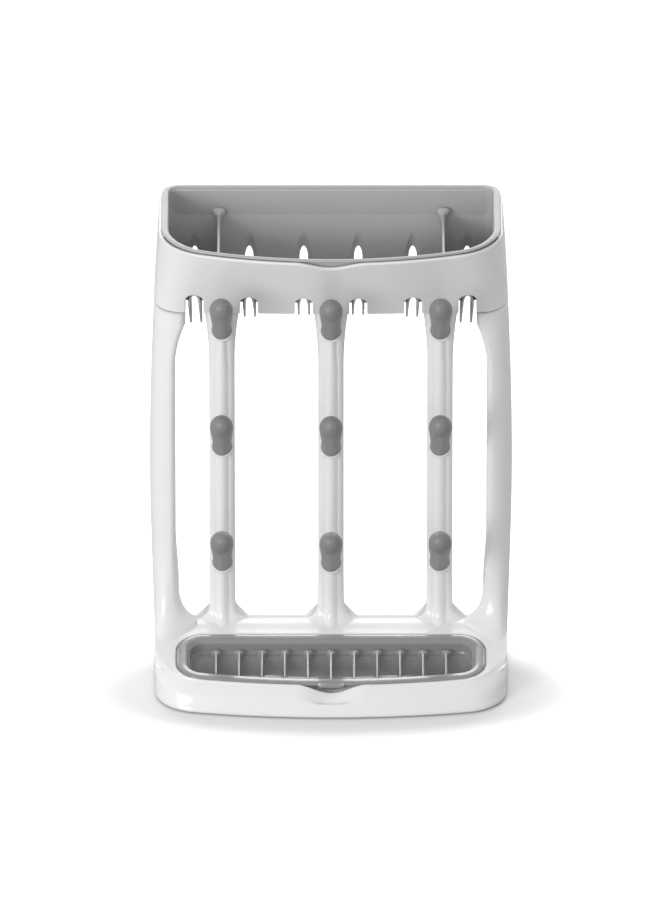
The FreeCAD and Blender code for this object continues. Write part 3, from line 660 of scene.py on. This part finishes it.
def pegProfile():
    # slightly flared root, slim neck, an even swell to the bulb, and a round end
    bulbAt = peg["length"] - peg["bulb"]
    straight = bulbAt - peg["ease"]
    length = np.linspace(0, 1, 70) * straight
    span = (peg["swellFrom"], bulbAt + peg["swellPast"])
    swell = ramp(length, *span) / ramp(straight, *span)
    flare = 1 - ramp(length, 0, peg["rootRun"])
    radius = peg["neck"] + (peg["root"] - peg["neck"]) * flare + (peg["bulb"] - peg["neck"]) * swell
    a = np.linspace(0, pi / 2, 22)[1:]
    tip = np.stack([peg["bulb"] * np.cos(a), straight + (peg["bulb"] + peg["ease"]) * np.sin(a)], -1)
    tail = np.array([[0.0, -peg["tail"]], [peg["root"], -peg["tail"]]])
    return np.vstack([tail, np.stack([radius, length], -1), tip])


def makeCollar(middle, rootZ):
    # low white ring where a peg leaves its column: an oval bead turned about the peg's axis
    a = np.linspace(0, 2 * pi, 13)[:-1]
    bead = np.stack([peg["root"] + 0.5 + peg["collar"] * np.cos(a), 0.2 + peg["collarHeight"] * np.sin(a)], -1)
    return skin(turned(bead, middle, rootZ), closeRows=True)


# top housing

housing = {
    "wall": 2.6, "frontTop": 63.0, "bowTop": 340.0, "bowLow": 2500.0, "topInset": 4.3,
    "cornerTop": 45.0, "cornerLow": 23.0, "backCorner": 9.0, "backBand": 35.0,
    "notchHalf": 6.75, "notchHeight": 19.5, "notchFan": 2.5,
    "scoopWidth": 54.0, "scoopDepth": 5.4, "edgeRound": 0.6,
}
housingTop = housingHigh[2]
housingBack = housingHigh[1]
housingHalfTop = housingHigh[0] - housing["topInset"]
columnPitch = columnPlace("right")
notchPlaces = np.array([1, 3, 5]) * columnPitch / 4  # on the right; the left has their mirror images
slotPlaces = np.hstack([-notchPlaces[::-1], notchPlaces])


def housingSizes(z):
    share = np.clip((z - topSeam) / (housingTop - topSeam), 0, 1)
    half = mix(baseHalf, housingHalfTop, share)
    front = mix(uprightFront, housing["frontTop"], share)
    bow = 1 / ((1 - share) / housing["bowLow"] + share / housing["bowTop"])
    corner = mix(housing["cornerLow"], housing["cornerTop"], share)
    return half, front, bow, corner


def housingPoint(s, z):
    # D outline at height z: nearly straight in front at the seam, bowed and further forward at the top
    half, front, bow, corner = housingSizes(z)
    return dPoint(s, half, front, housingBack, bow, corner, housing["backCorner"])


def frontShare(x, z):
    # the outline parameter s of a point at x: s = asin(x / bow) / tilt in front,
    # s = 1 + (asin((x - cornerX) / corner) - tilt) / (pi / 2 - tilt) on the corner arc
    half, front, bow, corner = housingSizes(z)
    cornerX = half - corner
    tilt = np.arcsin(cornerX / (bow - corner))
    turn = np.arcsin(np.clip((x - cornerX) / corner, -1, 1))
    return np.where(x < bow * np.sin(tilt), np.arcsin(x / bow) / tilt, 1 + (turn - tilt) / (pi / 2 - tilt))


def frontEnd(z):
    # x where the bowed front meets the corner arc
    half, front, bow, corner = housingSizes(z)
    return (half - corner) * bow / (bow - corner)


def lowerEdge():
    # Lower edge of the right half, front part: straight runs with inverted-U notches, as (x, z, top x).
    # Grid lines rise straight over a notch and fan out from its sides.
    r = housing["notchHalf"] + housing["edgeRound"]
    low = topSeam + housing["edgeRound"]
    crownZ = topSeam + housing["notchHeight"] - housing["notchHalf"]
    fan = housing["notchFan"]
    bounds = (0.0, columnPitch / 2, columnPitch, frontEnd(topSeam))
    parts = []
    for k, place in enumerate(notchPlaces):
        start, end = bounds[k:k + 2]
        isLast = k == len(notchPlaces) - 1
        left = upTo(0, 1, 14)
        up = upTo(0, 1, 12)
        a = np.linspace(pi, 0, 29)
        down = 1 - np.linspace(0, 1, 13)[1:]
        right = np.linspace(0, 1, 5 if isLast else 14, endpoint=isLast)[1:]
        topEnd = end + 2 * fan if isLast else end
        arch = place + r * np.cos(a)
        parts += [
            (mix(start, place - r, left), 0 * left + low, mix(start, place - r - fan, left)),
            (0 * up + place - r, mix(low, crownZ, up), place - r - fan * (1 - up)),
            (arch, crownZ + r * np.sin(a), arch),
            (0 * down + place + r, mix(low, crownZ, down), place + r + fan * (1 - down)),
            (mix(place + r, end, right), 0 * right + low, mix(place + r + fan, topEnd, right)),
        ]
    return [np.hstack(column) for column in zip(*parts)]


def unit(v):
    return v / np.maximum(np.linalg.norm(v, axis=-1, keepdims=True), 1e-9)


def walled(sheet, normal, thickness, edgeRound):
    # Sheet[row, column], closed along its columns, given a wall inwards and rounded upper and lower edges.
    # inner = outer - thickness * normal; an edge row at angle f is
    # outer edge - thickness / 2 * (1 - cos f) * normal + edgeRound * sin f * tangent
    turns = np.linspace(0, pi, 9)[1:-1, None, None]

    def edge(row, direction):
        along = unit(np.roll(sheet[row], -1, 0) - np.roll(sheet[row], 1, 0))
        tangent = unit(np.cross(normal[row], along))
        tangent = tangent * direction * np.sign(tangent[:, 2].sum())
        return sheet[row] - normal[row] * thickness / 2 * (1 - np.cos(turns)) + tangent * edgeRound * np.sin(turns)

    inner = sheet - normal * thickness
    return np.vstack([sheet, edge(-1, 1), inner[::-1], edge(0, -1)[::-1]])


def makeHousing():
    # Sheet between a lower and an upper edge: in front x and z are mixed from edge to edge, from there on only z.
    # point = D outline at height z; normal = step along the outline x step up it
    x, zLow, topX = lowerEdge()
    top = housingTop - housing["edgeRound"]
    w = np.hstack([upTo(0, 0.12, 6), upTo(0.12, 0.9, 22),
                        np.linspace(0.9, 1, 6)])[:, None]
    frontX = mix(x, topX, w)
    frontZ = mix(zLow, top - scoopDip(topX, housing["scoopWidth"], housing["scoopDepth"]), w)
    frontS = frontShare(frontX, frontZ)
    rest = dSteps(arc=1, corner=30, side=26, backCorner=8, backLine=30)[2:]
    backY = housingPoint(rest, topSeam + 0 * rest)[1]
    rising = (housingTop - housing["backBand"] - topSeam) * ramp(backY, baseDepth - 1, housingBack - 2)
    restZ = mix(topSeam + housing["edgeRound"] + rising, top, w)
    restS = np.where(rest < 2, mix(frontS[:, -1:], 2, rest - 1), rest + 0 * w)
    s = np.hstack([frontS, restS])
    z = np.hstack([frontZ, restZ])
    px, py = housingPoint(s, z)
    aheadX, aheadY = housingPoint(np.minimum(s + 1e-3, 5), z)
    behindX, behindY = housingPoint(np.maximum(s - 1e-3, 0), z)
    upX, upY = housingPoint(s, z + 0.1)
    along = xyz(aheadX - behindX, aheadY - behindY, 0 * z)
    upward = xyz(upX - px, upY - py, 0 * z + 0.1)
    normal = bothHalves(unit(np.cross(along, upward)))
    closed = walled(bothHalves(xyz(px, py, z)), normal, housing["wall"], housing["edgeRound"])
    return addPiece("top_housing_moulding", [skin(closed, closeRows=True)], glossWhiteAbs, 50)


# small parts bin

basin = {
    "wall": 2.2, "sideWall": 3.8, "backWall": 3.6, "gap": 0.9, "rimHeight": 1.7, "rimSet": 1.7, "lip": 2.7,
    "sideShare": 1.8, "backShare": 1.15, "middle": 146.0,
    "floorDrop": 60.5, "backDrop": 82.5, "fallFrom": 148.0, "backCorner": 10.0, "rimCorner": 12.0,
    "footThick": 9.0, "footHigh": (318.0, 303.0), "footFront": (118.0, 132.0),  # thick foot of the front wall
    "slotHalf": 3.1, "slotTop": 310.3, "slotLow": 235.0, "slotEnds": (84.0, 215.0), "ogive": 8.8, "seenAt": 300.0,
    "pocketHalf": 6.9, "pocketTop": 311.6, "pocketLow": 288.0, "pocketDepth": 9.0, "archTop": 308.6, "archWall": 1.65,
    "dent": 2.6, "dentTop": 322.5, "dentHalf": 6.0, "dentRun": 18.0,
}
divider = {
    "place": 85.0, "drop": 18.5, "half": 1.0, "front": 70.0, "closeFrom": 8.0, "into": 1.0,
    "pilaster": 4.0, "pilasterFrom": 5.0, "dome": 3.4, "round": 2.6,
}
rails = {
    "half": 0.85, "lean": 0.00028, "front": 110.5, "back": 180.0, "tipAt": 151.0, "dipFrom": 109.5, "dipRun": 40.0,
    "tips": (268.0, 266.2, 261.2),  # height of the lips' tips, from the middle outwards
}
binTop = binHigh[2]
binBack = binHigh[1]
binLow = binTop - basin["floorDrop"]
binInside = housing["wall"] + basin["gap"]  # the bin's outer face lies this far inside the housing's
innerBack = housingBack - binInside - basin["backWall"]


def binFloor(y):
    # level over the uprights, then falling to the back
    share = np.clip((y - basin["fallFrom"]) / (housingBack - basin["fallFrom"]), 0, 1)
    return binLow - (basin["backDrop"] - basin["floorDrop"]) * share


def binRing(steps, z, inset, backInset):
    # the bin's wall at height z, parallel to the housing
    half, front, bow, corner = housingSizes(np.maximum(z, binLow))
    inside = binInside + inset
    return dPoint(steps, housingHalfTop - inside, front + inside, housingBack - binInside - backInset,
                  bow - inside, housing["cornerTop"] - inside, max(basin["backCorner"] - inset, 2.0))


def rimPoint(steps, grow):
    # the rim's outline, taken in by grow in front, a little more behind and most at the sides
    rimSet = basin["rimSet"]
    return dPoint(steps, binHigh[0] - basin["sideShare"] * grow, housing["frontTop"] + rimSet + grow,
                  binBack - basin["backShare"] * grow, housing["bowTop"] - rimSet - grow,
                  housing["cornerTop"] - rimSet - grow, basin["rimCorner"] - grow)


def binRows():
    # profile carried round the D: underside, outside, rim, inside, floor
    steps = dSteps(arc=60, corner=20, side=24, backCorner=10, backLine=220)
    one = 0 * steps
    middle = basin["middle"]
    rimLow = binTop - basin["rimHeight"]
    lip = basin["lip"]
    rows = []
    outX, outY = binRing(steps, binLow + one, 0.0, 0.0)
    for share in (0.0, 0.25, 0.5, 0.75, 0.9, 0.98):  # underside
        x, y = share * outX, mix(middle, outY, share)
        rows.append((x, y, binFloor(y)))
    for share in (0.0, 0.04, 0.12, 0.3, 0.5, 0.7, 0.85, 1.0):  # outside
        z = mix(binFloor(outY) + 0.8, rimLow + one, share)
        rows.append((*binRing(steps, z, 0.0, 0.0), z))
    for grow, z in ((0.6, rimLow), (0.15, rimLow + 0.1), (0.0, rimLow + 0.3), (0.0, binTop - 0.9),
                    (0.12, binTop - 0.45), (0.5, binTop - 0.15), (1.0, binTop), (lip - 0.6, binTop),
                    (lip - 0.15, binTop - 0.15), (lip, binTop - 0.5)):  # rim
        rows.append((*rimPoint(steps, grow), z + one))
    lipX, lipY = rimPoint(steps, lip + 0.1)
    inX, inY = binRing(steps, binLow + one, basin["sideWall"], basin["backWall"])
    backness = ramp(lipY, 160, 186)
    inside = np.hstack([np.linspace(0.02, 0.25, 12), np.linspace(0.27, 0.5, 8), np.linspace(0.52, 0.97, 40)])
    for share in inside:  # the wall leaves the lip within 5 mm, behind within 44 mm
        z = mix(rimLow + one, binFloor(inY) + 3.0, share)
        x, y = binRing(steps, z, basin["sideWall"], basin["backWall"])
        blend = mix(np.clip((binTop - z) / 5.0, 0, 1), ramp(binTop - z, 0, 44), backness)
        thick = basin["footThick"] * ramp(-z, *-np.array(basin["footHigh"])) * (1 - ramp(y, *basin["footFront"]))
        rows.append((mix(lipX, x, blend), mix(lipY, y, blend) + thick, z))
    inX, inY = rows[-1][:2]
    for lift, share in ((1.6, 0.995), (0.7, 0.985), (0.15, 0.965), (0.0, 0.93), (0.0, 0.8), (0.0, 0.5), (0.0, 0.0)):
        x, y = share * inX, mix(middle, inY, share)
        rows.append((x, y, binFloor(y) + basin["wall"] + lift))
    return np.array([xyz(*row) for row in rows])


def archOutline(half, top, low, point=1.0):
    # upright sides that curve in to an ogive; x = half * (1 - t^2)^(point / 2) over the last stretch
    t = np.linspace(0, 1, 14)
    right = np.stack([half * np.sqrt(1 - t ** 2) ** point, top - basin["ogive"] * (1 - t)], -1)
    left = right[::-1][1:] * [-1, 1]
    return np.vstack([[half, low], right, left, [-half, low]])


def wallFront(place):
    # the bin's outer face at the front, at x = place
    half, front, bow, corner = housingSizes(basin["seenAt"])
    return front + binInside + place ** 2 / (2 * bow)


def tunnel(outline, place, ends):
    # an outline in x and z carried back along a slot
    rows = [xyz(outline[:, 0] + place, y, outline[:, 1]) for y in ends]
    return skin(np.array(rows), capEnds=True)


def cutSlots(piece):
    # a pocket in the front wall's foot round each slot, then the slots, from the front wall to the back wall
    start, end = basin["slotEnds"]
    pocket = archOutline(basin["pocketHalf"], basin["pocketTop"], basin["pocketLow"])
    carve(piece, [tunnel(pocket, place, (start, wallFront(place) + basin["pocketDepth"])) for place in slotPlaces])
    slot = archOutline(basin["slotHalf"], basin["slotTop"], basin["slotLow"], 1.15)
    carve(piece, [tunnel(slot, place, (start, end)) for place in slotPlaces])


def makeArches():
    # each slot's wall runs on to the front as an arch: outer outline out, inner outline back
    low = binLow - 1.0
    wall = basin["archWall"]
    inner = archOutline(basin["slotHalf"], basin["archTop"] - wall, low)
    outer = archOutline(basin["slotHalf"] + wall, basin["archTop"], low)
    ring = np.vstack([outer, inner[::-1]])
    count = len(ring)
    faces = gridFaces(3, count, False, True).tolist()
    for first in (0, 2 * count):  # both ends, between the outer and the inner outline
        k = first + np.arange(count // 2 - 1)
        last = 2 * first + count - 1 - k
        faces += np.stack([k, k + 1, last - 1, last], -1).tolist()
    skins = []
    for place in slotPlaces:
        start = wallFront(place) + 0.3
        rows = [xyz(ring[:, 0] + place, y, ring[:, 1] - inset * (ring[:, 1] > low))
                for y, inset in ((start, 0.35), (start + 0.4, 0.0), (start + basin["pocketDepth"] + 1.5, 0.0))]
        skins.append((np.vstack(rows), faces))
    return skins


def dentBackWall(points):
    # a funnel above each slot: a groove pressed back into the inner wall, widest and deepest at the slot
    away = np.min(np.abs(points[..., 0:1] - slotPlaces), axis=-1)
    height = np.clip((basin["dentTop"] - points[..., 2]) / basin["dentRun"], 0, 1)
    width = basin["dentHalf"] * np.sqrt(height) + 1e-6
    groove = np.clip(1 - (away / width) ** 2, 0, 1) ** 1.1 * np.minimum(height * 1.8, 1)
    isBack = (np.abs(points[..., 1] - innerBack) < 0.6) & (points[..., 2] < binTop - 20)
    points[..., 1] += basin["dent"] * groove * isBack
    return points


def makeDivider(sign):
    # Thin upright plate, round on top, that meets the back wall with a fillet and a dome.
    # Its front edge stays inside the D: bowY - sqrt(bow^2 - x^2), or the same of the corner arc.
    close = innerBack - divider["closeFrom"]
    end = innerBack + divider["into"]
    y = np.hstack([upTo(divider["front"], close, 26), np.linspace(close, end, 24)])[:, None]
    swell = ramp(y, innerBack - divider["pilasterFrom"], end)
    down = np.hstack([[0.0, 0.02, 0.05, 0.09, 0.14, 0.2], np.linspace(0.3, 1, 6)])[None, :]
    half = divider["half"] + divider["pilaster"] * swell ** 1.6
    top = binTop - divider["drop"] + divider["dome"] * swell
    cap = np.minimum(half, divider["round"])
    a = np.linspace(0, pi, 15)[None, :]
    fade = mix(half, divider["half"] + 0.8 * swell, ramp(down, 0.0, 0.16))  # the fillet slims below the dome
    sideZ = mix(top - cap, binFloor(y) + 1.0, down)
    px = np.hstack([half * np.cos(a), -fade[:, 1:], fade[:, :0:-1]]) + sign * divider["place"]
    pz = np.hstack([top - cap * (1 - np.sin(a)), sideZ[:, 1:], sideZ[:, :0:-1]])
    outHalf, front, bow, corner = housingSizes(pz)
    cornerX = outHalf - corner
    bowY = front + bow
    past = np.maximum(np.abs(px) - cornerX, 0)
    cornerY = bowY - np.sqrt((bow - corner) ** 2 - cornerX ** 2)
    edge = np.where(past > 0, cornerY - np.sqrt(np.maximum(corner ** 2 - past ** 2, 0)),
                    bowY - np.sqrt(np.maximum(bow ** 2 - px ** 2, 0)))
    py = np.maximum(y + 0 * px, edge + binInside + 1.0)
    return skin(xyz(px, py, pz), capEnds=True)


def makeRails():
    # thin lips under the floor on both sides of each slot: closed bars whose lower edge dips to a tip
    skins = []
    half = rails["half"]
    start = binLow + 0.6
    y = np.linspace(rails["front"], rails["back"], 60)[:, None]
    a = np.linspace(pi, 2 * pi, 9)[None, :]
    for place, tip in zip(notchPlaces, rails["tips"]):
        lower = mix(start, tip, np.clip((y - rails["dipFrom"]) / rails["dipRun"], 0, 1))
        rising = mix(tip, binFloor(rails["back"]), ramp(y, rails["tipAt"], rails["back"]))
        lower = np.where(y > rails["tipAt"], rising, lower)
        upper = np.maximum(binFloor(y) + 0.6, lower + 0.4)
        z = np.hstack([lower + half + half * np.sin(a), upper, upper])
        for sign in (-1, 1):
            for side in (-1, 1):
                middle = place + side * (basin["slotHalf"] + half) + 0 * y
                x = np.hstack([middle + half * np.cos(a), middle + half, middle - half])
                x = x - rails["lean"] * place * (start - z)
                skins.append(skin(xyz(sign * x, y, z), capEnds=True))
    return skins


def makeBin():
    body = addPiece("small_parts_bin_moulding", [skin(bothHalves(dentBackWall(binRows())))], satinGreyPp)
    cutSlots(body)
    inner = [makeDivider(-1), makeDivider(1)] + makeRails() + makeArches()
    return body, addPiece("small_parts_bin_ribs", inner, satinGreyPp)


# drip tray

ribs = {
    "count": 11, "pitch": 17.5, "half": 1.0, "front": 17.6, "back": 22.0, "hump": 3.2, "round": 2.6,
    "start": 26.0, "bow": 600.0, "fall": 4.0, "chamfer": 1.5,
    "ledgeY": 72.5, "ledgeZ": 16.2, "rampFront": 55.0,
}
tab = {"half": 9.8, "thick": 0.9, "reach": 2.6, "root": 5.0, "drop": 1.1, "pull": 1.0}


def rimHeight(y):
    return deckHeight(y) + tray["rimRise"]


def trayFloor(y):
    # flat in front, a ramp towards the back and a small ledge under the back wall
    climb = np.clip((y - ribs["rampFront"]) / (ribs["ledgeY"] - 2 - ribs["rampFront"]), 0, 1)
    return mix(tray["floor"], ribs["ledgeZ"], climb)


def makeTray():
    # Basin carried round the D: underside, outer wall, rim, inner wall and floor; then ribs and tab.
    steps = dSteps(arc=70, corner=24, side=20, backCorner=24, backLine=70)
    rim, middle = tray["rim"], tray["middle"]
    outX, outY = trayOutline(steps, -rim)
    rows = [(share * outX, mix(middle, outY, share), tray["under"]) for share in (0.0, 0.5, 0.95)]
    rows += [(outX, outY, tray["under"] + rise) for rise in (1.0, 7.0)]
    for grow, drop in ((-rim, 2.2), (-0.4, 2.2), (0.0, 1.8), (0.0, 0.9), (-0.25, 0.3), (-0.9, 0.0), (-2.4, -0.1),
                       (-rim + 1.2, -0.1), (-rim + 0.1, 0.15), (-rim - 0.7, 0.8), (-rim - 1.1, 1.8)):
        x, y = trayOutline(steps, grow)
        rows.append((x, y, rimHeight(y) - drop))
    inX, inY = trayOutline(steps, -rim - tray["wall"])
    for share in (0.1, 0.25, 0.4, 0.55, 0.7, 0.85):
        rows.append((inX, inY, mix(rimHeight(inY) - 1.8, trayFloor(inY) + 2.0, share)))
    for pull, lift in ((0.3, 1.1), (0.9, 0.35), (2.0, 0.0), (4.5, 0.0), (9.0, 0.0), (15.0, 0.0), (22.0, 0.0)):
        y = mix(middle, inY, 1 - pull / 30.0)
        rows.append((inX * (1 - pull / 100.0), y, trayFloor(y) + lift))
    rows.append((0 * inX, middle, tray["floor"]))
    points = np.array([xyz(*row) for row in rows])
    places = (np.arange(ribs["count"]) - (ribs["count"] - 1) / 2) * ribs["pitch"]
    skins = [skin(bothHalves(points))] + [makeRib(place) for place in places] + [makeTab()]
    return addPiece("drip_tray_moulding", skins, trayShadedGreyPp, 50)


def makeRib(place):
    # closed bar along y: thin in front, swelling into a domed hump at the back
    front = ribs["start"] + place ** 2 / (2 * ribs["bow"])
    far = ribs["ledgeY"]
    y = np.hstack([upTo(front, far - 14, 18), np.linspace(far - 14, far + 2.5, 26)])[:, None]
    half = ribs["half"] + ribs["hump"] * ramp(y, far - 9.0, far - 1.0) ** 1.5
    top = mix(ribs["front"], ribs["back"], (y - front) / (far + 1.5 - front))
    top = top - ribs["fall"] * ramp(y, far - 2.0, far + 3.0) - ribs["chamfer"] * (1 - ramp(y, front, front + 3))
    cap = np.minimum(half, ribs["round"])
    a = np.linspace(0, pi, 13)[None, :]
    low = tray["floor"] - 0.8 + 0 * y
    x = np.hstack([half * np.cos(a), -half, half]) + place
    z = np.hstack([top - cap + cap * np.sin(a), low, low])
    return skin(xyz(x, y, z), capEnds=True)


def makeTab():
    # flat finger tab at the middle of the front rim, rounded at its free edge and drawn in at its ends
    thick, half = tab["thick"], tab["half"]
    root = tray["front"] + tab["root"]
    a = np.linspace(-pi / 2, pi / 2, 9)
    y = np.hstack([tray["front"] - tab["reach"] - thick * np.cos(a), [root, root]])
    z = np.hstack([thick * np.sin(a), [thick, -thick]]) + rimHeight(tray["front"]) - tab["drop"]
    x = np.linspace(-half, half, 9)[:, None]
    pull = tab["pull"] * (np.abs(x) / half) ** 8
    return skin(xyz(x, y + pull * (y < tray["front"]), z), capEnds=True)


# make the rack

def place(piece, body, slot, node=None):
    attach(piece, body)
    if node:
        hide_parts(node)


place(makeBase(), "rack", "white_plastic", "base_shell")
print("base made")

for sign, side in ((-1, "left"), (1, "right")):
    piece = addPiece("post_" + side + "_moulding", [makePost(sign)], glossWhiteAbs, 60)
    place(piece, "rack", "white_plastic", "post_" + side)

for side in peg["sides"]:
    collars = [makeCollar(*pegRoot(side, row)) for row in peg["rows"]]
    piece = addPiece("column_" + side + "_moulding", [makeColumn(side)] + collars, glossWhiteAbs, 60)
    place(piece, "rack", "white_plastic", "column_" + side)

for side in peg["sides"]:
    for row in peg["rows"]:
        piece = addPiece("peg_" + side + "_" + row, [skin(turned(pegProfile(), *pegRoot(side, row)))], softGreyTpe)
        place(piece, "rack", "peg_rubber", "peg_sleeve_" + side + "_" + row)
print("uprights and pegs made")

place(makeHousing(), "rack", "white_plastic", "top_housing")
print("housing made")

binBody, binRibs = makeBin()
place(binBody, "bin", "grey_plastic", "small_parts_bin")
place(binRibs, "bin", "grey_plastic")
place(makeTray(), "tray", "grey_plastic", "drip_tray")
print("bin and tray made")

finishes = {
    "base_plate": glossWhiteAbs, "rubber_feet": footTpe, "base_screws": screwSteel, "upright_screws": screwSteel,
}
for node, material in finishes.items():
    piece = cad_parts[node]
    piece.data.materials.clear()
    piece.data.materials.append(material)
